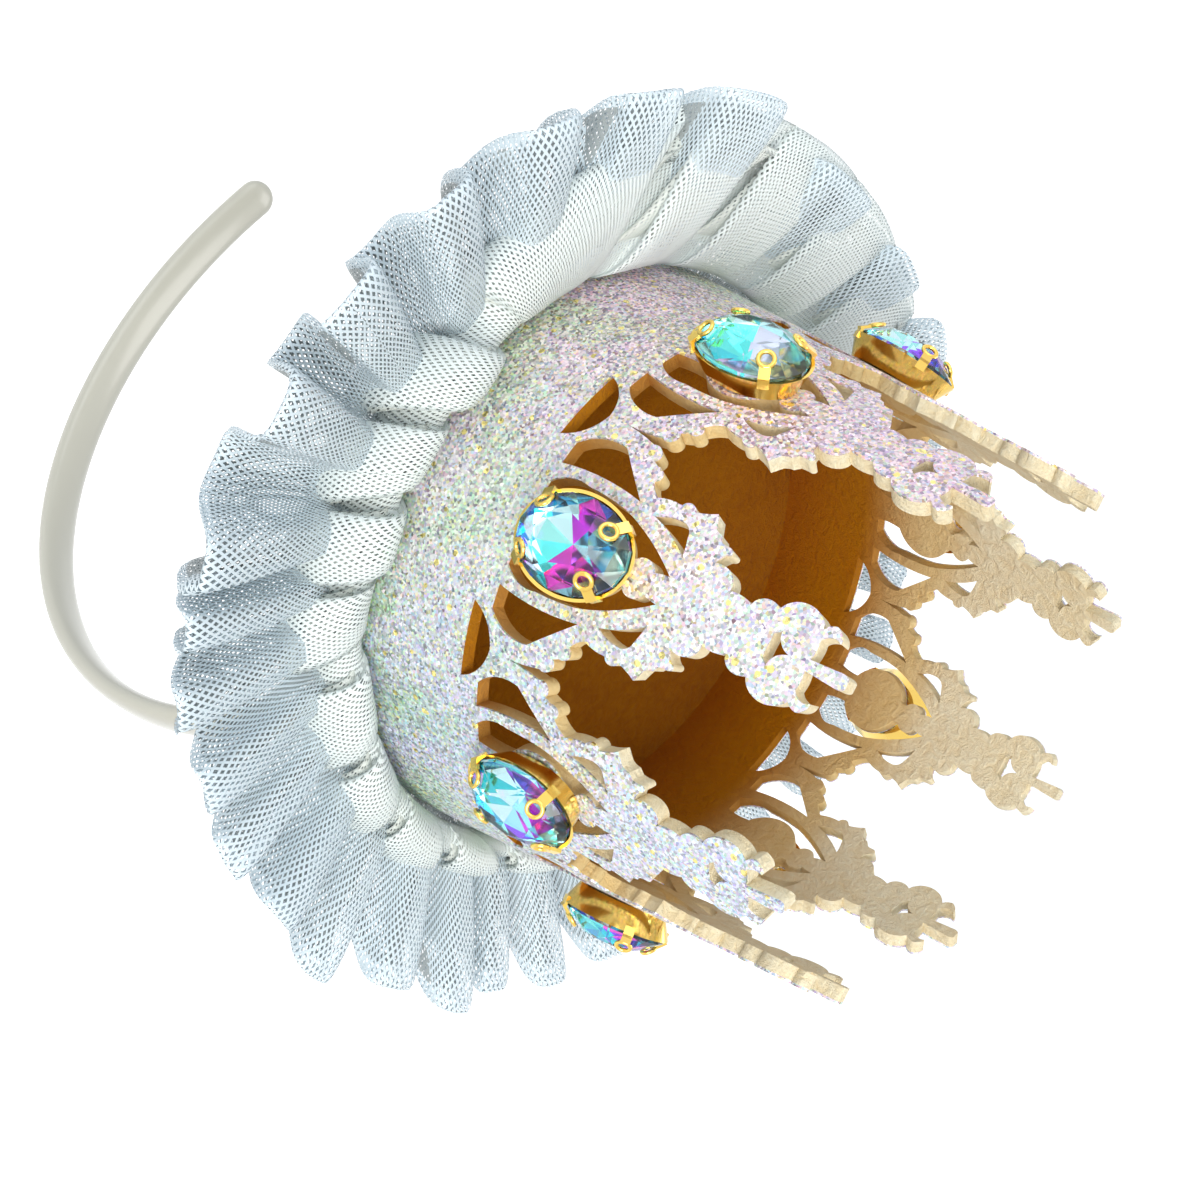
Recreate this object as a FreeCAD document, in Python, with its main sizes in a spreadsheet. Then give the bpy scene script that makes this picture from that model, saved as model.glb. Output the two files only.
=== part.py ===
import FreeCAD, Part
import math
import os

# A mini crown of laser-cut glitter felt on a hair band, with claw-set oval crystals and a gathered net ruffle.
# Frame: +Z along the crown's axis, origin at the centre of the crown's lower edge. Millimetres.

doc = FreeCAD.newDocument("crown")
V = FreeCAD.Vector

sheet = doc.addObject("Spreadsheet::Sheet", "sizes")
sizes = {
    # crown wall: one strip rolled into a slightly narrowing ring
    "pointCount": 8,
    "junctionRadius": 45.0,     # outer radius where neighbouring points meet
    "bandHeight": 26.0,         # lower edge up to where the points meet
    "pointHeight": 47.0,        # from there to the tips
    "inwardSlope": 0.149,       # radius lost per millimetre of height
    "feltThick": 2.0,
    "facingThick": 0.35,
    # lace of one point
    "padRadius": 5.8,
    "padHeight": 9.0,           # centre of the round stone seat above the junction
    # felt floor, pad under it and the gathered net
    "floorThick": 2.0,
    "netThick": 1.0,
    "padThick": 6.4,
    "padWidth": 88.0,
    "ruffleOuter": 78.0,
    "ruffleRise": 15.0,
    "ruffleWave": 4.6,
    "pleatCount": 28,
    "frillFoot": 2.4,
    "frillTop": 11.0,
    "frillSpread": 5.2,
    "frillWave": 3.4,
    "frillCount": 13,
    # stones and their claw settings
    "stoneWidth": 12.6,
    "stoneLength": 17.2,
    "stoneCrown": 3.0,          # girdle up to the table
    "stoneDepth": 2.6,          # girdle down to the culet
    "cupHeight": 3.4,
    "cupWall": 0.45,
    "clawWidth": 1.5,
    "eyeletRadius": 1.05,
    "eyeletWire": 0.32,
    # hair band
    "bandHalfWidth": 62.5,
    "bandHalfDepth": 77.8,
    "bandEnd": 114.0,           # degrees from its middle to each end
    "bandBreadth": 8.6,
    "bandThick": 4.0,
    "crownPlace": 82.0,         # degrees from its middle to where the crown is tangent to it
    "crownShift": 7.2,
    "bandDrop": 7.4,            # its centre line below the crown's lower edge
    "bandTurn": -16.9,
    "bandTilt": 8.4,
}
for row, (name, value) in enumerate(sizes.items(), 1):
    sheet.set(f"A{row}", name)
    sheet.set(f"B{row}", str(value))
    sheet.setAlias(f"B{row}", name)
doc.recompute()


def size(name):
    return float(getattr(sheet, name))


points = int(size("pointCount"))
junctionRadius = size("junctionRadius")
bandHeight = size("bandHeight")
slope = size("inwardSlope")
halfPitch = math.pi * junctionRadius / points
wallTop = bandHeight + size("pointHeight")
feltThick = size("feltThick")
facingThick = size("facingThick")
netThick = size("netThick")


def wallRadius(z, inward=0.0):
    """Outer radius of the wall at a height, less a depth into it."""
    return junctionRadius + slope * (bandHeight - z) - inward


def feature(label, shape, turn=0.0):
    """A sub-part whose form no primitive fits, turned into place about the crown's axis."""
    item = doc.addObject("Part::Feature", label)
    item.Label = label
    item.Shape = shape
    item.Placement = FreeCAD.Placement(V(0, 0, 0), FreeCAD.Rotation(V(0, 0, 1), turn)).multiply(item.Placement)
    return item


# Lace outline of one point. Each corner is (across, up, bulge): across and up from the centre line at the
# junction height, along the wall, and the bulge of the edge that follows, as tan(angle / 4),
# positive to the right of the way travelled.
halfOutline = [
    (halfPitch, 2.8, 0.06),
    (16.9, 8.4, 0.85), (14.9, 9.9, 0.0),        # lower bump of the scroll
    (14.4, 11.0, 0.85), (12.4, 11.8, -0.15),    # upper bump
    (10.6, 13.8, 0.12),                         # leaf
    (11.2, 17.3, 0.8), (11.2, 19.3, -0.1),
    (12.4, 22.1, 0.0), (10.7, 22.9, -0.2), (10.1, 24.1, 0.0), (9.2, 24.7, -0.1),
    (9.1, 26.1, 0.9), (8.0, 26.1, -0.2),
    (6.2, 25.3, 0.68), (3.9, 28.8, 0.22),       # lobes narrowing to the neck
    (3.7, 32.3, 0.6), (4.9, 35.7, 0.72),        # heart
    (5.3, 41.6, 0.25), (6.3, 43.0, 0.3), (4.5, 44.1, -0.3), (4.6, 42.7, -0.2),  # hook
    (3.7, 41.8, 0.1), (0.8, 41.8, 0.0),
    (1.15, 46.2, 0.3), (0.7, size("pointHeight"), 0.0),                         # middle prong
]
halfSpandrel = [(halfPitch - 5.5, -4.5, -0.3), (halfPitch, 0.1, 0.0)]           # cut where two points meet
teardrop = [(8.8, -1.4, 0.0), (12.2, -1.4, 0.29), (14.7, 5.6, 0.0), (9.0, 12.1, -0.1)]
leafHole = [(8.2, 14.9, 0.15), (9.3, 18.6, 0.4), (7.7, 20.5, 0.05), (5.0, 21.3, -0.12)]
heartHole = [(-1.7, 36.4, 0.0), (1.7, 36.4, 0.0), (2.6, 37.4, -0.35), (0.0, 39.4, -0.35), (-2.6, 37.4, 0.0)]


def crescent():
    """Hole on one side of the stone seat, from its neck round to its stem."""
    seat = size("padRadius")
    middle = size("padHeight")
    stem = 2.0
    neck = 2.7
    stemMeets = math.acos(stem / seat)
    neckMeets = -math.acos(neck / seat)
    seatBulge = -math.tan((stemMeets - neckMeets) / 4)
    return [
        (3.0, -1.2, 0.0), (6.0, -1.2, 0.28), (7.7, 4.5, 0.05), (7.2, 11.0, 0.1),
        (2.0, 21.2, -0.1), (1.5, 18.9, -0.7), (1.9, 15.8, 0.3),
        (stem, middle + seat * math.sin(stemMeets), seatBulge),
        (neck, middle + seat * math.sin(neckMeets), 0.1),
    ]


def mirrored(corners):
    """The same outline on the other side of the centre line, travelled the same way round."""
    count = len(corners)
    return [(-corners[i][0], corners[i][1], corners[i - 1][2]) for i in reversed(range(count))]


def pointOutline():
    """Outer edge of one point, from one seam with its neighbour over the tip to the other."""
    right = halfSpandrel + halfOutline
    left = mirrored(right)
    foot = -bandHeight
    return [(-halfPitch, foot, 0.0), (halfPitch, foot, 0.0), (halfPitch, -4.5, 0.0)] + right + left[:-1] + [
        (left[-1][0], left[-1][1], 0.0), (-halfPitch, -4.5, 0.0)]


def arcPoles(start, end, bulge):
    """Bezier poles, a list for each quarter turn or less, of the arc between two places."""
    if abs(bulge) < 1e-6:
        return [[start, end]]
    angle = 4 * math.atan(bulge)
    pieces = max(1, math.ceil(abs(angle) / (math.pi / 2) - 1e-9))
    dx, dy = end[0] - start[0], end[1] - start[1]
    reach = (1 - bulge * bulge) / (4 * bulge)
    centre = ((start[0] + end[0]) / 2 - dy * reach, (start[1] + end[1]) / 2 + dx * reach)
    radius = math.hypot(start[0] - centre[0], start[1] - centre[1])
    first = math.atan2(start[1] - centre[1], start[0] - centre[0])
    step = angle / pieces
    handle = 4 / 3 * math.tan(step / 4) * radius
    poles = []
    for i in range(pieces):
        a, b = first + i * step, first + (i + 1) * step
        p = (centre[0] + radius * math.cos(a), centre[1] + radius * math.sin(a))
        q = (centre[0] + radius * math.cos(b), centre[1] + radius * math.sin(b))
        poles.append([
            p, (p[0] - handle * math.sin(a), p[1] + handle * math.cos(a)),
            (q[0] + handle * math.sin(b), q[1] - handle * math.cos(b)), q])
    return poles


def coneSurface(depth):
    """The wall's rolled surface at a depth below its outside."""
    solid = Part.makeCone(wallRadius(0, depth), wallRadius(wallTop, depth), wallTop)
    return [face for face in solid.Faces if isinstance(face.Surface, Part.Cone)][0].Surface


def rolledEdges(corners, surface):
    """The closed outline, drawn flat, as edges rolled on to a surface."""
    slant = math.hypot(1, slope)

    def place(p):
        return FreeCAD.Base.Vector2d(math.pi + p[0] / junctionRadius, slant * (bandHeight + p[1]))
    edges = []
    for i, (u, v, bulge) in enumerate(corners):
        for poles in arcPoles((u, v), corners[(i + 1) % len(corners)][:2], bulge):
            if len(poles) == 2:
                curve = Part.Geom2d.Line2dSegment(place(poles[0]), place(poles[1]))
            else:
                curve = Part.Geom2d.BezierCurve2d()
                curve.setPoles([place(p) for p in poles])
            edges.append(curve.toShape(surface))
    return edges


def laceLayer(outerDepth, innerDepth):
    """One layer of the wall with its lace cut, between two depths, as a closed solid."""
    outline = pointOutline()
    holes = [teardrop, mirrored(teardrop), leafHole, mirrored(leafHole), crescent(), mirrored(crescent()), heartHole]
    surfaces = [coneSurface(outerDepth), coneSurface(innerDepth)]
    faces = []
    for surface in surfaces:
        sheetFace = Part.Face(surface, Part.Wire(rolledEdges(outline, surface)))
        openings = [Part.Face(surface, Part.Wire(rolledEdges(hole, surface))) for hole in holes]
        faces += sheetFace.cut(openings).Faces
    for corners in [outline] + holes:
        for outer, inner in zip(*[rolledEdges(corners, surface) for surface in surfaces]):
            middle = outer.valueAt((outer.FirstParameter + outer.LastParameter) / 2)
            onSeam = abs(abs(math.atan2(middle.y, -middle.x)) - math.pi / points) < 1e-6
            if not onSeam:
                faces.append(Part.makeRuledSurface(outer, inner))
    everywhere = []
    for k in range(points):
        for face in faces:
            copy = face.copy()
            copy.rotate(V(0, 0, 0), V(0, 0, 1), k * 360 / points - 180)
            everywhere.append(copy)
    shell = Part.makeCompound(everywhere)
    shell.sewShape(1e-4)
    solid = Part.Solid(shell.Shells[0])
    if solid.Volume < 0:
        solid.reverse()
    return solid


crownFelt = feature("crown_felt", laceLayer(facingThick, facingThick + feltThick))
crownFacing = feature("crown_facing", laceLayer(0.0, facingThick))


# Felt floor inside the lower edge, and the round pad that the hair band is glued into.
floor = doc.addObject("Part::Cone", "crown_floor")
floor.Label = "crown_floor"
floor.setExpression("Height", "sizes.floorThick * 1 mm")
innerRadius = "(sizes.junctionRadius + sizes.inwardSlope * sizes.bandHeight - sizes.facingThick - sizes.feltThick)"
floor.setExpression("Radius1", f"{innerRadius} * 1 mm")
floor.setExpression("Radius2", f"({innerRadius} - sizes.inwardSlope * sizes.floorThick) * 1 mm")


def waveRing(radius, height, sway, lift, count, phase=0.0, samplesPerWave=6):
    """A closed curve round the axis whose radius and height swing with the gathers."""
    places = []
    for i in range(count * samplesPerWave):
        angle = 2 * math.pi * i / (count * samplesPerWave)
        swing = math.sin(count * angle + phase)
        fold = math.cos(count * angle + phase)
        # the folds lean over their own roots, as gathered net does
        around = angle + 0.12 * sway / radius * fold
        r = radius + sway * swing
        places.append(V(r * math.cos(around), r * math.sin(around), height + lift * fold))
    curve = Part.BSplineCurve()
    curve.interpolate(Points=places, PeriodicFlag=True)
    return Part.Wire([curve.toShape()])


def ribbon(edges, away):
    """A gathered strip through wave rings, given its thickness by a step outward and upward."""
    backs = [dict(edge, radius=edge["radius"] + away[0], height=edge["height"] + away[1]) for edge in edges]
    rings = [waveRing(**edge) for edge in edges + backs[::-1]]
    rings.append(rings[0])
    faces = [Part.makeRuledSurface(a.Edges[0], b.Edges[0]) for a, b in zip(rings, rings[1:])]
    shell = Part.makeCompound(faces)
    shell.sewShape(1e-4)
    solid = Part.Solid(shell.Shells[0])
    if solid.Volume < 0:
        solid.reverse()
    return solid


# Net ruffle: gathered flat under the crown's edge, then fanning out and up in pleats.
pleats = int(size("pleatCount"))
edgeRadius = wallRadius(0)
ruffle = feature("net_ruffle", ribbon([
    dict(radius=size("padWidth") / 2 + 0.3, height=0.0, sway=0.0, lift=0.0, count=pleats),
    dict(radius=edgeRadius + 0.6, height=-0.3, sway=0.0, lift=0.3, count=pleats),
    dict(radius=size("ruffleOuter"), height=size("ruffleRise"), sway=0.5 * size("ruffleWave"),
         lift=size("ruffleWave"), count=pleats)], (0.0, -netThick)))

# Inner frill of the same net, standing against the wall in loose loops.
loops = int(size("frillCount"))
frill = feature("net_frill", ribbon([
    dict(radius=wallRadius(size("frillFoot")) + 0.6, height=size("frillFoot"), sway=0.5, lift=0.0, count=loops),
    dict(radius=wallRadius(size("frillTop")) + size("frillSpread"), height=size("frillTop"),
         sway=size("frillWave"), lift=1.2, count=loops)], (netThick, 0.0)))


def bandPlane():
    """The hair band's own directions: along it at the crown, and away from the crown."""
    turn, tilt = math.radians(size("bandTurn")), math.radians(size("bandTilt"))
    along = V(math.cos(turn), math.sin(turn), 0)
    side = V(-math.sin(turn), math.cos(turn), 0)
    away = V(0, 0, -math.cos(tilt)) + side * math.sin(tilt)
    return along, away, along.cross(away)


def bandPlace(degrees):
    """A point of the band's centre line, by the angle from its middle."""
    wide, deep = size("bandHalfWidth"), size("bandHalfDepth")
    t, at = math.radians(degrees), math.radians(size("crownPlace"))
    tangent = V(wide * math.cos(at), deep * math.sin(at), 0).normalize()
    inward = V(-tangent.y, tangent.x, 0)
    gap = V(wide * (math.sin(t) - math.sin(at)), deep * (math.cos(at) - math.cos(t)), 0)
    along, away, across = bandPlane()
    start = V(0, 0, -size("bandDrop"))
    return start + along * (gap.dot(tangent) + size("crownShift")) + away * gap.dot(inward)


def bandSection(degrees, share):
    """An oval section of the band, at a share of its full size."""
    along, away, across = bandPlane()
    centre = bandPlace(degrees)
    run = (bandPlace(degrees + 0.5) - bandPlace(degrees - 0.5)).normalize()
    thin = run.cross(across).normalize()
    major = centre + across * (0.5 * size("bandBreadth") * share)
    minor = centre + thin * (0.5 * size("bandThick") * share)
    return Part.Wire([Part.Ellipse(major, minor, centre).toShape()])


def hairBand():
    end = size("bandEnd")
    tip = [(0.0, 0.25), (0.5, 0.55), (1.4, 0.82), (2.6, 0.96)]      # degrees back from the end, share of section
    stations = [(-end + back, share) for back, share in tip]
    inner = end - 6.0
    count = 17
    stations += [(-inner + 2 * inner * i / (count - 1), 1.0) for i in range(count)]
    stations += [(end - back, share) for back, share in reversed(tip)]
    return Part.makeLoft([bandSection(*station) for station in stations], True, False)


band = feature("hair_band", hairBand())

padBlank = doc.addObject("Part::Cylinder", "pad_blank")
padBlank.setExpression("Radius", "sizes.padWidth / 2 * 1 mm")
padBlank.setExpression("Height", "sizes.padThick * 1 mm")
padBlank.setExpression("Placement.Base.z", "-sizes.padThick * 1 mm")
pad = doc.addObject("Part::Cut", "base_pad")
pad.Label = "base_pad"
pad.Base = padBlank
pad.Tool = band


def ovalPlace(share, degrees, z):
    """A corner of the stone: a share of its oval, at a turn round it."""
    a = math.radians(degrees)
    return V(share * size("stoneWidth") / 2 * math.cos(a), share * size("stoneLength") / 2 * math.sin(a), z)


def stoneShape():
    """Oval stone: table, ring of kites, girdle and pointed back, with its girdle at z = 0."""
    crownHeight, depth = size("stoneCrown"), size("stoneDepth")
    girdle = 0.3
    table = [ovalPlace(0.52, 45 * i, crownHeight) for i in range(8)]
    kites = [ovalPlace(0.76, 45 * i + 22.5, 0.66 * crownHeight) for i in range(8)]
    rim = [ovalPlace(1.0, 22.5 * i, girdle) for i in range(16)]
    under = [ovalPlace(1.0, 22.5 * i, -girdle) for i in range(16)]
    back = [ovalPlace(0.55, 45 * i + 22.5, -0.72 * depth) for i in range(8)]
    culet = V(0, 0, -depth)
    corners = [table]
    for i in range(8):
        j = (i + 1) % 8
        c = [rim[(2 * i + n) % 16] for n in range(3)]
        d = [under[(2 * i + n) % 16] for n in range(3)]
        corners += [
            [table[i], kites[i], table[j]], [kites[i], kites[j], table[j]],
            [c[0], c[1], kites[i]], [c[1], c[2], kites[i]], [c[2], kites[j], kites[i]],
            [c[0], d[0], d[1], c[1]], [c[1], d[1], d[2], c[2]],
            [d[1], d[0], back[i]], [d[2], d[1], back[i]], [d[2], back[i], back[j]], [back[j], back[i], culet]]
    faces = [Part.Face(Part.makePolygon(ring + ring[:1])) for ring in corners]
    shell = Part.makeCompound(faces)
    shell.sewShape(1e-5)
    solid = Part.Solid(shell.Shells[0])
    if solid.Volume < 0:
        solid.reverse()
    return solid


def ovalWire(extra, z):
    """An oval round the stone's outline, wider by an amount all round."""
    wide, long = size("stoneWidth") / 2 + extra, size("stoneLength") / 2 + extra
    return Part.Wire([Part.Ellipse(V(0, long, z), V(-wide, 0, z), V(0, 0, z)).toShape()])


stoneLift = size("cupHeight") + 0.2     # back of the cup to the stone's girdle


def settingShape():
    """Stamped oval cup with four claws, each ending in a small eyelet folded over the stone."""
    height, wall = size("cupHeight"), size("cupWall")
    room = 0.12
    outer = Part.makeLoft([ovalWire(-1.1, 0), ovalWire(room + wall, height)], True, True)
    inner = Part.makeLoft([ovalWire(-1.1 - wall, wall), ovalWire(room, height)], True, True)
    cup = outer.cut(inner)
    cup = cup.cut(Part.makeCylinder(1.6, 4 * wall, V(0, 0, -wall)))
    clawLean = 40
    claws = []
    for degrees in (45, 135, 225, 315):
        foot = ovalPlace(1.0, degrees, 0)
        wayOut = V(foot.x / size("stoneWidth") ** 2, foot.y / size("stoneLength") ** 2, 0).normalize()
        turn = math.degrees(math.atan2(wayOut.y, wayOut.x))
        width = size("clawWidth")
        upright = Part.makeBox(wall, width, 1.6, V(room, -width / 2, height - 0.9))
        over = Part.makeBox(1.7, width, wall, V(-1.7, -width / 2, 0))
        over.rotate(V(0, 0, 0), V(0, 1, 0), clawLean)
        over.translate(V(room + wall, 0, height + 0.35))
        eyelet = Part.makeTorus(size("eyeletRadius"), size("eyeletWire"))
        eyelet.rotate(V(0, 0, 0), V(0, 1, 0), clawLean)
        eyelet.translate(V(-1.38, 0, height + 2.35))
        claw = upright.fuse([over, eyelet])
        claw.rotate(V(0, 0, 0), V(0, 0, 1), turn)
        claw.translate(V(foot.x, foot.y, 0))
        claws.append(claw)
    return cup.fuse(claws).removeSplitter()


def seat(k):
    """Where a stone's setting stands on the wall, its back to the wall and its length upward."""
    around = math.radians(360 / points * k)
    lean = math.atan(slope)
    z = bandHeight + size("padHeight")
    radius = wallRadius(z)
    outward = V(math.cos(around) * math.cos(lean), math.sin(around) * math.cos(lean), math.sin(lean))
    along = V(-math.sin(around), math.cos(around), 0)
    return V(radius * math.cos(around), radius * math.sin(around), z), along, outward.cross(along), outward


stone, setting = stoneShape(), settingShape()
for k in range(points):
    foot, along, up, outward = seat(k)
    turn = FreeCAD.Rotation(along, up, outward, "ZXY")
    for label, shape, lift in ((f"setting_{k + 1}", setting, 0.0), (f"stone_{k + 1}", stone, stoneLift)):
        item = doc.addObject("Part::Feature", label)
        item.Label = label
        item.Shape = shape
        item.Placement = FreeCAD.Placement(foot + outward * lift, turn)

doc.recompute()
pieces = [crownFelt, crownFacing, floor, ruffle, frill, band, pad]
pieces += [item for item in doc.Objects if item.Label.startswith(("stone_", "setting_"))]
for item in doc.Objects:
    if "Invalid" in item.State or "Error" in item.State:
        raise RuntimeError(f"{item.Label} did not compute")
for item in pieces:
    if item.Shape.isNull() or not item.Shape.isValid() or len(item.Shape.Solids) != 1:
        raise RuntimeError(f"{item.Label} has no valid solid")

os.makedirs("parts", exist_ok=True)
for item in pieces:
    item.Shape.exportStep(f"parts/{item.Label}.step")
    print(item.Label, round(item.Shape.Volume, 1))
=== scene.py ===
import math
import random

import bmesh
import bpy
from mathutils import Matrix, Vector


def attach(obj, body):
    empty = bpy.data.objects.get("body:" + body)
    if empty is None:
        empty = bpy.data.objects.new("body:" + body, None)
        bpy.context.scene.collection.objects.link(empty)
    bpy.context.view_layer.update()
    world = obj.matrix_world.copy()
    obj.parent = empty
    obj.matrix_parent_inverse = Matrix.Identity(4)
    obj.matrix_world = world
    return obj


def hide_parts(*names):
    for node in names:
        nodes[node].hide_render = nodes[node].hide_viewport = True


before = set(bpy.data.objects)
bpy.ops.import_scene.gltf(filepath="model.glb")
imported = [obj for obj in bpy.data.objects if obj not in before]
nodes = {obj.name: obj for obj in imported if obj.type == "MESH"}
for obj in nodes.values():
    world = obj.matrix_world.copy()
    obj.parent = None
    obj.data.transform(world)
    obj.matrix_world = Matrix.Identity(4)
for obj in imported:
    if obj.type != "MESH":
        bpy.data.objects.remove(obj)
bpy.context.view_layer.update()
millimetre = 0.001
print("frame loaded")

# crown wall, as in the solids: a ring that narrows towards the tips, in millimetres
wall = {"junction": 45.0, "bandHeight": 26.0, "slope": 0.149, "points": 8}


def wallRadius(z):
    return wall["junction"] + wall["slope"] * (wall["bandHeight"] - z)


def around(radius, degrees, z):
    a = math.radians(degrees)
    return Vector((radius * math.cos(a), radius * math.sin(a), z)) * millimetre


# Node helpers: a number or colour is set on the socket, anything else is wired to it

def addNode(tree, kind, **values):
    made = tree.nodes.new(kind)
    for name, value in values.items():
        setattr(made, name, value)
    return made


def wire(tree, start, end):
    tree.links.new(start, end)


def give(tree, value, socket):
    if isinstance(value, (int, float)):
        socket.default_value = value
    elif isinstance(value, tuple):
        socket.default_value = (*value, 1)
    else:
        wire(tree, value, socket)


def maths(tree, operation, *values, clamp=False):
    made = addNode(tree, "ShaderNodeMath", operation=operation, use_clamp=clamp)
    for value, socket in zip(values, made.inputs):
        give(tree, value, socket)
    return made.outputs[0]


def vectorMaths(tree, operation, vector, second=None, scale=None):
    made = addNode(tree, "ShaderNodeVectorMath", operation=operation)
    wire(tree, vector, made.inputs[0])
    if isinstance(second, tuple):
        made.inputs[1].default_value = second
    elif second is not None:
        wire(tree, second, made.inputs[1])
    if scale is not None:
        wire(tree, scale, made.inputs["Scale"])
    return made.outputs[0]


def parts(tree, kind, value):
    made = addNode(tree, f"ShaderNodeSeparate{kind}")
    wire(tree, value, made.inputs[0])
    return made.outputs


def blendColours(tree, share, a, b, mode="MIX"):
    made = addNode(tree, "ShaderNodeMix", data_type="RGBA", blend_type=mode)
    for socket, value in ((made.inputs[0], share), (made.inputs[6], a), (made.inputs[7], b)):
        give(tree, value, socket)
    return made.outputs[2]


def ramp(tree, value, stops, smooth=False):
    made = addNode(tree, "ShaderNodeValToRGB")
    band = made.color_ramp
    band.interpolation = "EASE" if smooth else "LINEAR"
    while len(band.elements) < len(stops):
        band.elements.new(0.5)
    for element, (place, colour) in zip(band.elements, stops):
        element.position = place
        element.color = (*colour, 1)
    wire(tree, value, made.inputs[0])
    return made.outputs[0]


def noiseOf(tree, vector, scale, detail=2.0, roughness=0.5, distortion=0.0):
    made = addNode(tree, "ShaderNodeTexNoise")
    wire(tree, vector, made.inputs["Vector"])
    for name, value in (("Scale", scale), ("Detail", detail), ("Roughness", roughness), ("Distortion", distortion)):
        made.inputs[name].default_value = value
    return made.outputs[0]


def newGroup(name, inputs, outputs):
    tree = bpy.data.node_groups.new(name, "ShaderNodeTree")
    kinds = {"V": "NodeSocketVector", "F": "NodeSocketFloat", "C": "NodeSocketColor"}
    for label, kind in inputs:
        tree.interface.new_socket(label, in_out="INPUT", socket_type=kinds[kind])
    for label, kind in outputs:
        tree.interface.new_socket(label, in_out="OUTPUT", socket_type=kinds[kind])
    return tree, tree.nodes.new("NodeGroupInput").outputs, tree.nodes.new("NodeGroupOutput").inputs


def useGroup(tree, group, **values):
    made = addNode(tree, "ShaderNodeGroup", node_tree=group)
    for name, value in values.items():
        give(tree, value, made.inputs[name])
    return made.outputs


def newMaterial(name, **values):
    made = bpy.data.materials.new(name)
    made.use_nodes = True
    shader = made.node_tree.nodes["Principled BSDF"]
    for label, value in values.items():
        give(made.node_tree, value, shader.inputs[label.replace("_", " ")])
    return made, made.node_tree, shader


def bump(tree, shader, height, distance, strength):
    made = addNode(tree, "ShaderNodeBump")
    made.inputs["Distance"].default_value = distance
    made.inputs["Strength"].default_value = strength
    wire(tree, height, made.inputs["Height"])
    wire(tree, made.outputs[0], shader.inputs["Normal"])


def objectPlace(tree):
    return addNode(tree, "ShaderNodeTexCoord").outputs["Object"]


# Felt: short tangled fibres, as a mottled colour and a height
felt = {
    # each: size to the metre, detail, roughness, distortion
    "fine": (2600, 4.0, 0.7, 1.2), "tufts": (620, 3.0, 0.6, 0.8), "clouds": (60, 2.0),
    "fineShare": 0.45, "cloudShare": 0.8, "cut": 0.22, "contrast": 1.8, "fineRelief": 0.5,
    "relief": 0.0007, "strength": 0.9, "sheen": 0.03, "sheenRoughness": 0.6,
    "height": 0.073,    # of the wall, in metres
    # deep: painted shade, a dark orange-brown low on the wall fading out towards the tips, by height
    "deep": [(0.0, (0.42, 0.14, 0.0)), (0.28, (0.50, 0.21, 0.0)), (0.52, (0.90, 0.76, 0.52)), (0.66, (1, 1, 1))],
    "wallColours": ((0.98, 0.90, 0.68), (0.90, 0.74, 0.46)),
    # floor: the same felt darkened to deep brown, painted shade inside the crown
    "floorShadeColours": ((0.42, 0.15, 0.0), (0.33, 0.105, 0.0)),
    "padColours": ((0.86, 0.83, 0.76), (0.74, 0.70, 0.62)),
}


def feltGroup():
    tree, given, out = newGroup(
        "feltFibres", [("Vector", "V"), ("Light", "C"), ("Dark", "C")], [("Color", "C"), ("Height", "F")])
    fine, tufts, clouds = (noiseOf(tree, given["Vector"], *felt[name]) for name in ("fine", "tufts", "clouds"))
    share = maths(tree, "MULTIPLY_ADD", fine, felt["fineShare"], -felt["fineShare"] / 2)
    share = maths(tree, "ADD", share, tufts)
    cloudy = maths(tree, "MULTIPLY", maths(tree, "SUBTRACT", clouds, 0.5), felt["cloudShare"])
    share = maths(tree, "SUBTRACT", maths(tree, "ADD", share, cloudy), felt["cut"])
    sharp = maths(tree, "MULTIPLY", share, felt["contrast"], clamp=True)
    wire(tree, blendColours(tree, sharp, given["Dark"], given["Light"]), out["Color"])
    wire(tree, maths(tree, "MULTIPLY_ADD", fine, felt["fineRelief"], tufts), out["Height"])
    return tree


# Felt; where deep is given, its colour is multiplied low down by a dark orange-brown ramp by height, as painted shade
# inside the crown
def feltMaterial(name, colours, deep=None):
    made, tree, shader = newMaterial(
        name, Roughness=0.95, Specular_IOR_Level=0.05, Sheen_Weight=felt["sheen"],
        Sheen_Roughness=felt["sheenRoughness"])
    place = objectPlace(tree)
    fibres = useGroup(tree, groups["felt"], Vector=place, Light=colours[0], Dark=colours[1])
    colour = fibres["Color"]
    if deep:
        # painted shade: the felt's colour multiplied by deep's dark ramp low on the wall
        height = maths(tree, "DIVIDE", parts(tree, "XYZ", place)["Z"], felt["height"], clamp=True)
        colour = blendColours(tree, 1.0, colour, ramp(tree, height, deep, smooth=True), "MULTIPLY")
    wire(tree, colour, shader.inputs["Base Color"])
    bump(tree, shader, fibres["Height"], felt["relief"], felt["strength"])
    return made


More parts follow.
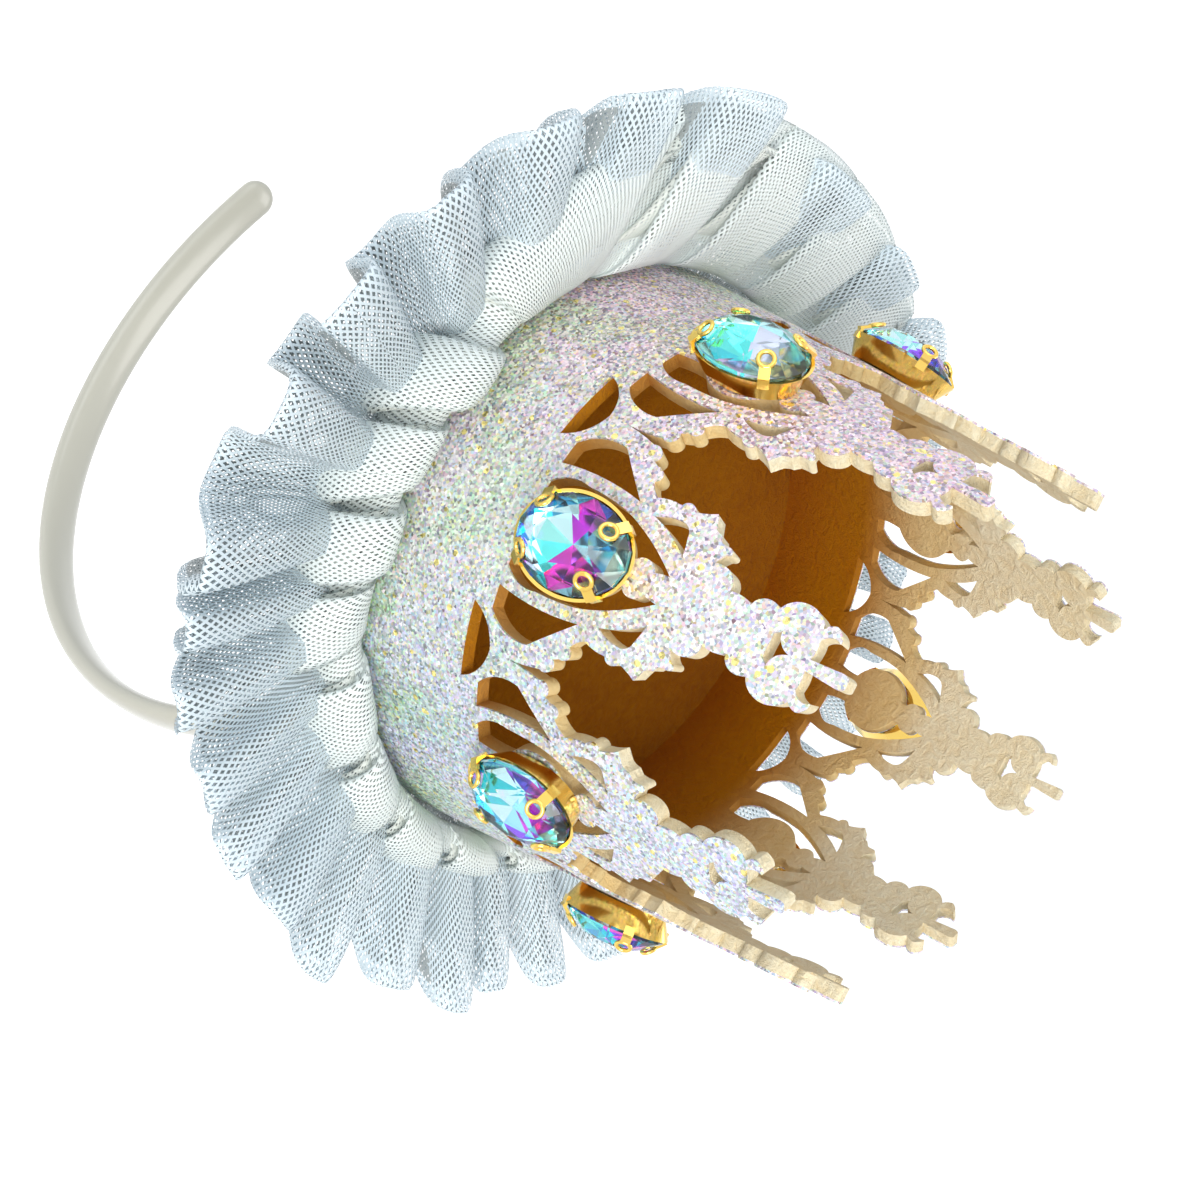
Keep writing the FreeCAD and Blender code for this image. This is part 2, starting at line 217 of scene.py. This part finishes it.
# Glitter: flakes of one size, each with its own tint and tilt, and now and then a bigger gold one
glitter = {
    "flake": 0.00038, "tilt": 0.9, "gold": (0.98, 0.82, 0.30), "bigScale": 0.33, "goldFrom": 0.93, "goldReach": 0.42,
    "tintShare": 0.72, "depthShare": 0.85, "roughness": (0.18, 0.25), "metallic": (0.25, 0.4), "gloss": 0.6,
    "tints": [(0.0, (0.90, 0.88, 0.95)), (0.32, (0.98, 0.95, 0.97)), (0.46, (0.66, 0.96, 0.80)),
              (0.56, (1.0, 0.94, 0.50)), (0.66, (1.0, 0.68, 0.84)), (0.78, (0.60, 0.86, 1.0)),
              (0.88, (0.76, 0.64, 1.0)), (1.0, (1.0, 1.0, 1.0))],
    "depths": [(0.0, (0.55, 0.50, 0.55)), (0.25, (0.68, 0.63, 0.68)), (0.5, (0.86, 0.84, 0.86)),
               (1.0, (1.02, 1.02, 1.02))],
    # round the crown: pink by the second point, cream and green by the third, bluish by the fourth
    "byTurn": [(0.0, (0.95, 0.93, 0.96)), (0.50, (1.0, 0.88, 0.90)), (0.61, (1.0, 0.76, 0.80)),
               (0.67, (1.0, 0.82, 0.84)), (0.73, (0.98, 0.94, 0.92)), (0.79, (0.90, 0.97, 0.90)),
               (0.87, (0.78, 0.90, 1.0)), (1.0, (0.95, 0.93, 0.96))],
    # green patches on the plain band, fading out above greenTop
    "patches": (75, 2.0, 0.5, 0.6), "greenTop": 0.036, "greenShare": 1.2,
    "greens": [(0.0, (1.0, 0.97, 0.80)), (0.46, (1, 1, 1)), (0.57, (0.74, 1.0, 0.64)), (1.0, (0.60, 1.0, 0.72))],
}


def glitterGroup():
    tree, given, out = newGroup(
        "glitterFlakes", [("Vector", "V"), ("Flake", "F"), ("Tilt", "F"), ("Tint", "C"), ("Gold", "C")],
        [("Color", "C"), ("Roughness", "F"), ("Normal", "V"), ("Metallic", "F")])

    def flakes(times):
        cells = addNode(tree, "ShaderNodeTexVoronoi")
        wire(tree, given["Vector"], cells.inputs["Vector"])
        wire(tree, maths(tree, "DIVIDE", times, given["Flake"]), cells.inputs["Scale"])
        return cells.outputs

    small, big = flakes(1.0), flakes(glitter["bigScale"])
    draws = parts(tree, "Color", small["Color"])    # three random values for each flake
    colour = blendColours(
        tree, glitter["tintShare"], ramp(tree, draws[0], glitter["tints"]), given["Tint"], "MULTIPLY")
    colour = blendColours(tree, glitter["depthShare"], colour, ramp(tree, draws[1], glitter["depths"]), "MULTIPLY")
    isGold = maths(tree, "GREATER_THAN", parts(tree, "Color", big["Color"])[0], glitter["goldFrom"])
    middle = maths(tree, "LESS_THAN", big["Distance"], glitter["goldReach"])
    goldShare = maths(tree, "MULTIPLY", isGold, middle)
    wire(tree, blendColours(tree, goldShare, colour, given["Gold"]), out["Color"])
    for name, share, (least, more) in (
            ("Roughness", draws[2], glitter["roughness"]), ("Metallic", goldShare, glitter["metallic"])):
        wire(tree, maths(tree, "MULTIPLY_ADD", share, more, least), out[name])
    tilt = vectorMaths(tree, "SUBTRACT", small["Color"], (0.5, 0.5, 0.5))
    tilt = vectorMaths(tree, "SCALE", tilt, scale=given["Tilt"])
    upright = addNode(tree, "ShaderNodeNewGeometry").outputs["Normal"]
    wire(tree, vectorMaths(tree, "NORMALIZE", vectorMaths(tree, "ADD", upright, tilt)), out["Normal"])
    return tree


def glitterMaterial():
    made, tree, shader = newMaterial("glitterFacing", Specular_IOR_Level=glitter["gloss"])
    place = objectPlace(tree)
    turn = addNode(tree, "ShaderNodeTexGradient", gradient_type="RADIAL")
    wire(tree, place, turn.inputs["Vector"])
    byTurn = ramp(tree, turn.outputs[1], glitter["byTurn"])
    green = ramp(tree, noiseOf(tree, place, *glitter["patches"]), glitter["greens"])
    height = maths(tree, "DIVIDE", parts(tree, "XYZ", place)["Z"], glitter["greenTop"])
    low = maths(tree, "MULTIPLY", maths(tree, "SUBTRACT", 1.0, height, clamp=True), glitter["greenShare"], clamp=True)
    tint = blendColours(tree, 1.0, byTurn, blendColours(tree, low, (1, 1, 1), green), "MULTIPLY")
    flakes = useGroup(tree, groups["glitter"], Vector=place, Flake=glitter["flake"], Tilt=glitter["tilt"], Tint=tint,
                      Gold=glitter["gold"])
    for name in ("Roughness", "Metallic", "Normal"):
        wire(tree, flakes[name], shader.inputs[name])
    wire(tree, flakes["Color"], shader.inputs["Base Color"])
    return made


# Net: slanted threads both ways, as how solid each place is
net = {
    "slant": 0.62, "roughness": 0.5, "gloss": 0.4,
    # cell and turn in metres; threads as shares of a cell, above and below the turn; the greyer under colour and the
    # denser threads below the turn are painted shade on the folded-under layer
    "ruffle": {"top": (0.68, 0.78, 0.84), "under": (0.36, 0.40, 0.41), "cell": 0.00105, "threads": (0.42, 0.60),
               "turn": 0.004},
    "frill": {"top": (0.77, 0.83, 0.82), "under": (0.70, 0.74, 0.70), "cell": 0.0009, "threads": (0.50, 0.62),
              "turn": 0.002},
}


def netGroup():
    tree, given, out = newGroup(
        "netThreads", [("Vector", "V"), ("Cell", "F"), ("Thread", "F")], [("Alpha", "F")])
    place = parts(tree, "XYZ", given["Vector"])
    u = maths(tree, "DIVIDE", place["X"], given["Cell"])
    v = maths(tree, "DIVIDE", maths(tree, "MULTIPLY", place["Y"], net["slant"]), given["Cell"])
    edge = maths(tree, "SUBTRACT", 0.5, maths(tree, "MULTIPLY", given["Thread"], 0.5))
    threads = []
    for way in ("ADD", "SUBTRACT"):
        across = maths(tree, "FRACT", maths(tree, way, u, v))
        fromMiddle = maths(tree, "ABSOLUTE", maths(tree, "SUBTRACT", across, 0.5))
        threads.append(maths(tree, "GREATER_THAN", fromMiddle, edge))
    wire(tree, maths(tree, "MAXIMUM", *threads), out["Alpha"])
    return tree


# Net whose second layer, past the turn at its folded edge, is coloured greyer and given denser threads as painted
# shade from the first layer
def netMaterial(name, look):
    made, tree, shader = newMaterial(name, Roughness=net["roughness"], Specular_IOR_Level=net["gloss"])
    lay = addNode(tree, "ShaderNodeUVMap", uv_map="lay").outputs[0]
    below = maths(tree, "GREATER_THAN", parts(tree, "XYZ", lay)["Y"], look["turn"])
    above, under = look["threads"]
    # below the turn the threads are denser, as painted shade
    thread = maths(tree, "MULTIPLY_ADD", below, under - above, above)
    mesh = useGroup(tree, groups["net"], Vector=lay, Cell=look["cell"], Thread=thread)
    wire(tree, mesh["Alpha"], shader.inputs["Alpha"])
    # below the turn the under colour is painted shade
    wire(tree, blendColours(tree, below, look["top"], look["under"]), shader.inputs["Base Color"])
    return made


groups = {"felt": feltGroup(), "glitter": glitterGroup(), "net": netGroup()}
finish = {
    # the wall's felt carries the painted shade of deep
    "felt": feltMaterial("caramelFelt", felt["wallColours"], felt["deep"]),
    # the floor's felt colour is painted shade
    "floor": feltMaterial("floorFeltShaded", felt["floorShadeColours"]),
    "pad": feltMaterial("padFelt", felt["padColours"]),
    "glitter": glitterMaterial(),
    "net": netMaterial("ruffleNet", net["ruffle"]),
    "frillNet": netMaterial("frillNet", net["frill"]),
    "pearl": newMaterial("pearlPlastic", Base_Color=(0.52, 0.51, 0.44), Roughness=0.28, Coat_Weight=0.4,
                         Coat_Roughness=0.12)[0],
    "gilt": newMaterial("giltStamping", Base_Color=(0.95, 0.66, 0.16), Metallic=1.0, Roughness=0.16)[0],
}


def dress(name, material):
    nodes[name].data.materials.clear()
    nodes[name].data.materials.append(finish[material])


dress("crown_felt", "felt")
dress("crown_floor", "floor")
dress("base_pad", "pad")
dress("crown_facing", "glitter")
for k in range(wall["points"]):
    dress(f"setting_{k + 1}", "gilt")
print("solids dressed")


def finishMesh(name, bm, materials):
    mesh = bpy.data.meshes.new(name)
    bm.to_mesh(mesh)
    bm.free()
    obj = bpy.data.objects.new(name, mesh)
    bpy.context.scene.collection.objects.link(obj)
    for material in materials:
        mesh.materials.append(material)
    return obj


# Lengths along a line of points, from its first one
def runLength(points):
    total = [0.0]
    for p, q in zip(points, points[1:]):
        total.append(total[-1] + (q - p).length)
    return total


# Grid drawn over rows of points that run round and meet themselves, and the length of the middle row;
# lay is each corner's flat place, counted from that row
def gridMesh(rows):
    count, last = len(rows[0]), len(rows) - 1
    middle = len(rows) // 2
    lengthwise = runLength(rows[middle] + rows[middle][:1])
    across = [runLength(line) for line in zip(*rows)]
    bm = bmesh.new()
    lay = bm.loops.layers.uv.new("lay")
    bmesh.ops.create_grid(bm, x_segments=count, y_segments=last, size=0.5)
    places = {v: (round((v.co.x + 0.5) * count), round((v.co.y + 0.5) * last)) for v in bm.verts}
    for face in bm.faces:
        face.smooth = True
        for loop in face.loops:
            along, up = places[loop.vert]
            line = across[along % count]
            loop[lay].uv = (lengthwise[along], line[up] - line[middle])
    for v, (along, up) in places.items():
        v.co = rows[up][along % count]
    seam = [v for v, (along, up) in places.items() if along in (0, count)]
    bmesh.ops.remove_doubles(bm, verts=seam, dist=1e-4 * millimetre)
    return bm, lengthwise[-1]


# One entry for each fold: where it starts and stops, in degrees, and how it differs from the others
def gathers(edges, pick, spread):
    made = []
    for start, stop in zip(edges, edges[1:] + [edges[0] - 360]):
        made.append((start, stop, *[pick.uniform(low, high) for low, high in spread]))
    return made


def smooth(x):
    x = min(max(x, 0.0), 1.0)
    return x * x * (3 - 2 * x)


# A fold's own value, passing into the next one's
def easeOver(f, here, following):
    return here * (1 - smooth(f)) + following * smooth(f)


# A wave from 1 to -1 with wide rounded crests and narrow valleys, or the other way for sharp under 1
def broadCrest(phase, sharp):
    return 1 - 2 * ((1 - math.cos(phase)) / 2) ** sharp


# A piece of net made over its rows, both layers, in place of the part of that name, which is hidden
def softPiece(name, rows, material, node):
    bm, folded = gridMesh(rows)
    obj = finishMesh(name, bm, [finish[material]])
    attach(obj, "root")
    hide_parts(node)
    return obj


# Net ruffle: a flattened tube of net in deep rounded pleats, fanning out from under the crown
ruffle = {
    "crests": [81, 68, 56, 43, 29, 6, -17, -32, -45, -57, -69, -80, -92, -104, -116, -128, -139, -150, -160,
               -170, -180, -190, -201, -212, -223, -231, -239, -247, -255, -267],
    "seed": 11, "deepSpread": (0.75, 1.3), "reachSpread": (-2.5, 2.5), "lapSpread": (0.5, 1.6),
    "leanSpread": (-2.2, 2.2), "underLean": 0.6,
    "root": -3.9, "rootHeight": -2.2, "rootPuff": 0.18, "start": 0.13, "edge": 73.2, "fuller": 7.6,
    "fullerAt": 103.0, "edgeHeight": 11.5, "rise": 1.2, "blunt": 0.6, "opening": 0.7, "depth": 6.4, "lap": 0.34,
    "puff": 2.8, "recede": 6.0, "skew": 1.3, "sharp": 1.5, "fullWidth": 12, "mostDepth": 1.05,
    "samples": 22, "rows": 28,
}


def makeRuffle():
    spread = [ruffle[name] for name in ("deepSpread", "reachSpread", "lapSpread", "leanSpread")]
    folds = gathers(ruffle["crests"], random.Random(ruffle["seed"]), spread)
    rootRadius = wallRadius(0) + ruffle["root"]
    rows = []
    for r in range(ruffle["rows"] + 1):
        a = math.pi * r / ruffle["rows"]
        t = math.sin(a) ** ruffle["blunt"] if 0 < r < ruffle["rows"] else 0.0    # 0 at the root, 1 at the folded edge
        side = math.cos(a)    # above or below the middle
        swell = max(0.0, (t - ruffle["start"]) / (1 - ruffle["start"])) ** ruffle["opening"]
        row = []
        for i, (start, stop, *own) in enumerate(folds):
            width = abs(stop - start)
            following = folds[(i + 1) % len(folds)][2:]
            for s in range(ruffle["samples"]):
                f = s / ruffle["samples"]
                deep, reach, lap, lean = (easeOver(f, here, there) for here, there in zip(own, following))
                phase = 2 * math.pi * f ** ruffle["skew"]
                crest = broadCrest(phase, ruffle["sharp"])
                over = ruffle["lap"] / 4 * lap * swell
                degrees = start + (stop - start) * f - width * over * math.sin(2 * phase)
                degrees += lean * t * (1 if side > 0 else ruffle["underLean"])
                facing = max(0.0, math.cos(math.radians(degrees - ruffle["fullerAt"])))
                edge = ruffle["edge"] + ruffle["fuller"] * facing ** 2 + reach
                edge -= ruffle["recede"] * ((1 - crest) / 2) ** 2 * t * t
                z = ruffle["rootHeight"] + ruffle["edgeHeight"] * t ** ruffle["rise"]
                z += ruffle["depth"] * deep * swell * crest * min(ruffle["mostDepth"], width / ruffle["fullWidth"])
                z += ruffle["puff"] * side * (ruffle["rootPuff"] + swell ** ruffle["opening"])
                row.append(around(rootRadius + (edge - rootRadius) * t, degrees, z))
        rows.append(row)
    return softPiece("ruffle", rows, "net", "net_ruffle")


# Inner frill: the same net rolled over against the wall in loose slanting loops, and thrown wide on one side
frill = {
    "loops": [90, 76, 61, 44, 25, 3, -17, -33, -50, -70, -92, -112, -131, -148, -164, -181, -195, -213, -227,
              -245, -256],
    "seed": 5, "tallSpread": (0.75, 1.3), "broadSpread": (0.75, 1.3), "leanSpread": (-2.0, 2.0),
    "gap": 0.9, "foot": 2.2, "halfWidth": 3.3, "widthWave": 0.30, "height": 6.4, "heightWave": 0.28,
    "rollFrom": 205, "rollBy": 235, "slant": 11.0, "slantFrom": 0.4, "lap": 0.75, "lapFoot": 0.3,
    "skew": 1.8, "sharp": 0.8, "inside": 0.66, "samples": 22, "rows": 15,
    # thrown: from and to, in degrees, with the run over which each end grows
    "thrownTo": 66, "thrownToRun": 14, "thrownFrom": -48, "thrownFromRun": 25,
    "wide": 12.8, "lift": 8.0, "relief": 2.6, "lower": 0.5, "swing": 30.0, "swingFrom": -30, "swingRun": 85,
}


def makeFrill():
    spread = [frill[name] for name in ("tallSpread", "broadSpread", "leanSpread")]
    folds = gathers(frill["loops"], random.Random(frill["seed"]), spread)
    count = frill["rows"]
    sections = [(i / count, 1.0) for i in range(count + 1)]    # out over the roll, and back inside it
    sections += [(t, frill["inside"]) for t, _ in reversed(sections)]
    rows = []
    for t, share in sections:
        roll = math.radians(frill["rollFrom"] - frill["rollBy"] * t)
        row = []
        for i, (start, stop, *own) in enumerate(folds):
            following = folds[(i + 1) % len(folds)][2:]
            for s in range(frill["samples"]):
                f = s / frill["samples"]
                tall, broad, lean = (easeOver(f, here, there) for here, there in zip(own, following))
                phase = 2 * math.pi * f ** frill["skew"]
                crest = broadCrest(phase, frill["sharp"])
                degrees = start + (stop - start) * f
                turn = (degrees + 180) % 360 - 180
                thrown = smooth((frill["thrownTo"] - turn) / frill["thrownToRun"])
                thrown *= smooth((turn - frill["thrownFrom"]) / frill["thrownFromRun"])
                half = frill["halfWidth"] * broad * (1 + frill["widthWave"] * crest) * (1 - thrown)
                half += frill["wide"] * thrown
                height = frill["height"] * tall * (1 + frill["heightWave"] * crest) * (1 - frill["lower"] * thrown)
                degrees -= abs(stop - start) * frill["lap"] / 4 * math.sin(2 * phase) * (frill["lapFoot"] + t)
                degrees += (frill["slant"] + lean) * (t - frill["slantFrom"]) * (1 - thrown)
                degrees -= thrown * t * frill["swing"] * (turn - frill["swingFrom"]) / frill["swingRun"]
                z = frill["foot"] + height * share * math.sin(roll)
                z += thrown * t * (frill["lift"] + frill["relief"] * crest)
                out = half * (1 + share * math.cos(roll))
                row.append(around(wallRadius(max(z, 0)) + frill["gap"] + out, degrees, z))
        rows.append(row)
    return softPiece("frill", rows, "frillNet", "net_frill")


makeRuffle()
makeFrill()
print("net made")


# Hair band: an oval section swept along part of an ellipse, in millimetres and degrees
band = {
    "halfWidth": 62.5, "halfDepth": 77.8, "end": 114.0, "breadth": 8.6, "thick": 4.0, "crownPlace": 82.0,
    "crownShift": 7.2, "drop": 7.4, "turn": -16.9, "tilt": 8.4, "stations": 110, "sides": 24, "tip": 3.0,
    "tipRows": 8, "leastTip": 0.03, "squareness": 0.85, "step": 0.5,
}


def bandPlace(degrees):
    wide, deep = band["halfWidth"], band["halfDepth"]
    t, at = math.radians(degrees), math.radians(band["crownPlace"])
    tangent = Vector((wide * math.cos(at), deep * math.sin(at))).normalized()
    inward = Vector((-tangent.y, tangent.x))
    gap = Vector((wide * (math.sin(t) - math.sin(at)), deep * (math.cos(at) - math.cos(t))))
    turn, tilt = math.radians(band["turn"]), math.radians(band["tilt"])
    along = Vector((math.cos(turn), math.sin(turn), 0))
    side = Vector((-math.sin(turn), math.cos(turn), 0))
    away = Vector((0, 0, -math.cos(tilt))) + side * math.sin(tilt)
    centre = Vector((0, 0, -band["drop"])) + along * (gap.dot(tangent) + band["crownShift"]) + away * gap.dot(inward)
    return centre, along.cross(away)


# A rounded square's coordinate: the cosine or sine pushed outwards
def squared(x):
    return math.copysign(abs(x) ** band["squareness"], x)


def makeBand():
    rows = []
    quarter = [math.pi / 2 * i / band["tipRows"] for i in range(band["tipRows"])]
    tip = [(band["tip"] * (1 - math.cos(x)), max(math.sin(x), band["leastTip"])) for x in quarter]
    whole = band["end"] - band["tip"]
    stations = [(-band["end"] + back, share) for back, share in tip]
    stations += [(-whole + 2 * whole * i / band["stations"], 1.0) for i in range(band["stations"] + 1)]
    stations += [(band["end"] - back, share) for back, share in reversed(tip)]
    for degrees, share in stations:
        centre, across = bandPlace(degrees)
        run = (bandPlace(degrees + band["step"])[0] - bandPlace(degrees - band["step"])[0]).normalized()
        thin = run.cross(across).normalized()
        row = []
        for j in range(band["sides"]):
            a = 2 * math.pi * j / band["sides"]
            x = squared(math.cos(a)) * band["breadth"] / 2 * share
            y = squared(math.sin(a)) * band["thick"] / 2 * share
            row.append((centre + across * x + thin * y) * millimetre)
        rows.append(row)
    bm, _ = gridMesh(rows)
    bmesh.ops.holes_fill(bm, edges=[e for e in bm.edges if e.is_boundary], sides=0)
    bmesh.ops.recalc_face_normals(bm, faces=bm.faces)
    obj = finishMesh("hairBand", bm, [finish["pearl"]])
    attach(obj, "root")
    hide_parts("hair_band")
    return obj


makeBand()
print("band made")


# Stones: clear faceted crown over a coloured foil back, in millimetres
stone = {
    "width": 12.6, "length": 17.2, "crown": 3.0, "depth": 2.6, "girdle": 0.3, "lift": 3.6, "padHeight": 9.0,
    "facets": 8, "tableShare": 0.52, "kiteShare": 0.76, "kiteHeight": 0.66, "backShare": 0.62, "backDepth": 0.62,
    "seed": 31, "zones": (-0.12, 0.38), "warmStone": 1,
    "low": [(0.02, 0.62, 0.72), (0.10, 0.80, 0.78), (0.03, 0.40, 0.66), (0.35, 0.90, 0.86), (0.62, 0.92, 0.96)],
    "middle": [(0.62, 0.02, 0.72), (0.24, 0.05, 0.80), (0.85, 0.05, 0.60), (0.05, 0.12, 0.75), (0.30, 0.70, 0.92)],
    "top": [(0.62, 0.64, 0.80), (0.74, 0.78, 0.84), (0.40, 0.74, 0.80), (0.55, 0.45, 0.80), (0.80, 0.84, 0.70)],
    "warm": [(0.90, 0.80, 0.30), (0.60, 0.84, 0.45), (0.84, 0.88, 0.72), (0.92, 0.62, 0.22), (0.55, 0.86, 0.80)],
}
glass = newMaterial("crystalCrown", Base_Color=(0.96, 0.99, 1.0), Roughness=0.0, IOR=1.55, Transmission_Weight=1.0)[0]
foil, foilTree, foilShader = newMaterial("crystalBack", Metallic=1.0, Roughness=0.12)
facets = addNode(foilTree, "ShaderNodeVertexColor", layer_name="facet")
wire(foilTree, facets.outputs[0], foilShader.inputs["Base Color"])


# One ring of a stone's corners, its first one turned by the given part of a step
def stoneRing(bm, count, offset, share, z):
    made = []
    for i in range(count):
        a = 2 * math.pi * (i + offset) / count
        x, y = stone["width"] / 2 * math.cos(a), stone["length"] / 2 * math.sin(a)
        made.append(bm.verts.new((share * x, share * y, z)))
    return made


# Where stone k sits: outward from the wall, its length up the slope
def stoneSeat(k):
    degrees = 360 / wall["points"] * k
    angle, lean = math.radians(degrees), math.atan(wall["slope"])
    outward = Vector((math.cos(angle) * math.cos(lean), math.sin(angle) * math.cos(lean), math.sin(lean)))
    along = Vector((-math.sin(angle), math.cos(angle), 0))
    z = wall["bandHeight"] + stone["padHeight"]
    centre = around(wallRadius(z), degrees, z) + outward * stone["lift"] * millimetre
    turned = Matrix((along, outward.cross(along), outward)).transposed().to_4x4()
    return Matrix.Translation(centre) @ turned @ Matrix.Scale(millimetre, 4)


def makeStone(k):
    pick = random.Random(stone["seed"] + k)
    high, deep, girdle, n = stone["crown"], stone["depth"], stone["girdle"], stone["facets"]
    warm = k == stone["warmStone"]
    middle = stone["warm"] + stone["top"] if warm else stone["middle"]
    top = stone["warm"] if warm else stone["top"]
    bm = bmesh.new()
    colours = bm.loops.layers.float_color.new("facet")
    table = stoneRing(bm, n, 0, stone["tableShare"], high)
    kite = stoneRing(bm, n, 0.5, stone["kiteShare"], stone["kiteHeight"] * high)
    rim = stoneRing(bm, 2 * n, 0, 1.0, girdle)
    under = stoneRing(bm, 2 * n, 0, 1.0, -girdle)
    back = stoneRing(bm, n, 0.5, stone["backShare"], -stone["backDepth"] * deep)
    culet = bm.verts.new((0, 0, -deep))
    crownFaces, backFaces = [table], []
    for i in range(n):
        j = (i + 1) % n
        a, b, c = (rim[(2 * i + step) % (2 * n)] for step in range(3))
        d, e, f = (under[(2 * i + step) % (2 * n)] for step in range(3))
        crownFaces += [[table[i], kite[i], table[j]], [kite[i], kite[j], table[j]], [a, b, kite[i]], [b, c, kite[i]],
                       [c, kite[j], kite[i]], [a, d, e, b], [b, e, f, c]]
        backFaces += [[e, d, back[i]], [f, e, back[i]], [f, back[i], back[j]], [back[j], back[i], culet]]
    for corners in crownFaces:
        bm.faces.new(corners).material_index = 0
    for corners in backFaces:
        face = bm.faces.new(corners)
        face.material_index = 1
        up = face.calc_center_median().y / (stone["length"] / 2)
        lowZone, highZone = stone["zones"]
        colour = pick.choice(stone["low"] if up < lowZone else middle if up < highZone else top)
        for loop in face.loops:
            loop[colours] = (*colour, 1)
    bmesh.ops.recalc_face_normals(bm, faces=bm.faces)
    bm.transform(stoneSeat(k))
    obj = finishMesh(f"crystal_{k + 1}", bm, [glass, foil])
    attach(obj, "root")
    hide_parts(f"stone_{k + 1}")
    return obj


for k in range(wall["points"]):
    makeStone(k)
print("stones made")


# Camera, from the fit of crown and band to the photo; place in millimetres, lens in millimetres of a 36 mm sensor
view = {
    "place": (-0.15, 173.39, 148.13), "right": (0.45753, -0.56738, 0.68466), "down": (-0.88916, -0.28489, 0.35809),
    "lens": 41.18, "sensor": 36, "shift": (-0.01359, -0.01596), "near": 0.01,
}
cameraData = bpy.data.cameras.new("camera")
camera = bpy.data.objects.new("camera", cameraData)
bpy.context.scene.collection.objects.link(camera)
right = Vector(view["right"]).normalized()
up = -Vector(view["down"])
up = (up - right * up.dot(right)).normalized()
turned = Matrix((right, up, right.cross(up))).transposed().to_4x4()
camera.matrix_world = Matrix.Translation(Vector(view["place"]) * millimetre) @ turned
cameraData.lens = view["lens"]
cameraData.sensor_width = view["sensor"]
cameraData.shift_x, cameraData.shift_y = view["shift"]
cameraData.clip_start = view["near"]
bpy.context.scene.camera = camera

# Studio: pale floor well below, white sky for the camera, soft lamps
studio = {
    "floor": -0.32, "floorSize": 3.0, "floorColour": (0.86, 0.86, 0.86), "floorRoughness": 0.9, "floorGlow": 0.6,
    "sky": (0.90, 0.95, 1.0), "skyLevel": 0.52, "aim": (0, 0, 0.03),
    "lamps": [
        {"name": "keyLamp", "place": (-0.30, 0.42, 0.52), "size": 0.45, "power": 4.5, "colour": (1.0, 0.97, 0.92)},
        {"name": "fillLamp", "place": (0.50, 0.42, 0.32), "size": 0.60, "power": 1.7, "colour": (0.92, 0.97, 1.0)},
        {"name": "rimLamp", "place": (0.10, -0.60, 0.35), "size": 0.40, "power": 1.5, "colour": (1.0, 0.98, 0.95)},
    ],
}


# The surface as it is for light, and the seen one for the camera, metal and glass
def seenAs(tree, surface, seen, out):
    path = addNode(tree, "ShaderNodeLightPath").outputs
    share = maths(tree, "MAXIMUM", path["Is Camera Ray"], path["Is Transmission Ray"])
    share = maths(tree, "MAXIMUM", share, path["Is Glossy Ray"])
    mix = addNode(tree, "ShaderNodeMixShader")
    for value, socket in zip((share, surface, seen), mix.inputs):
        wire(tree, value, socket)
    wire(tree, mix.outputs[0], tree.nodes[out].inputs[0])


world = bpy.data.worlds.new("studio")
bpy.context.scene.world = world
world.use_nodes = True
worldTree = world.node_tree
sky = worldTree.nodes["Background"]
white = addNode(worldTree, "ShaderNodeBackground")
for node, colour, level in ((sky, studio["sky"], studio["skyLevel"]), (white, (1, 1, 1), 1.0)):
    node.inputs[0].default_value = (*colour, 1)
    node.inputs[1].default_value = level
seenAs(worldTree, sky.outputs[0], white.outputs[0], "World Output")

floorMaterial, floorTree, floorShader = newMaterial(
    "floorPaper", Base_Color=studio["floorColour"], Roughness=studio["floorRoughness"])
glow = addNode(floorTree, "ShaderNodeEmission")
glow.inputs[0].default_value = (1, 1, 1, 1)
glow.inputs[1].default_value = studio["floorGlow"]
lighter = addNode(floorTree, "ShaderNodeAddShader")    # keeps the floor's own light and shadow under the glow
wire(floorTree, floorShader.outputs[0], lighter.inputs[0])
wire(floorTree, glow.outputs[0], lighter.inputs[1])
seenAs(floorTree, floorShader.outputs[0], lighter.outputs[0], "Material Output")
bm = bmesh.new()
bmesh.ops.create_grid(bm, x_segments=1, y_segments=1, size=studio["floorSize"],
                      matrix=Matrix.Translation((0, 0, studio["floor"])))
finishMesh("studioFloor", bm, [floorMaterial])

for lamp in studio["lamps"]:
    data = bpy.data.lights.new(lamp["name"], "AREA")
    data.size = lamp["size"]
    data.energy = lamp["power"]
    data.color = lamp["colour"]
    item = bpy.data.objects.new(lamp["name"], data)
    bpy.context.scene.collection.objects.link(item)
    item.location = lamp["place"]
    item.rotation_mode = "QUATERNION"
    item.rotation_quaternion = (Vector(studio["aim"]) - item.location).to_track_quat("-Z", "Y")
bpy.context.scene.view_settings.view_transform = "Standard"
print("studio made")
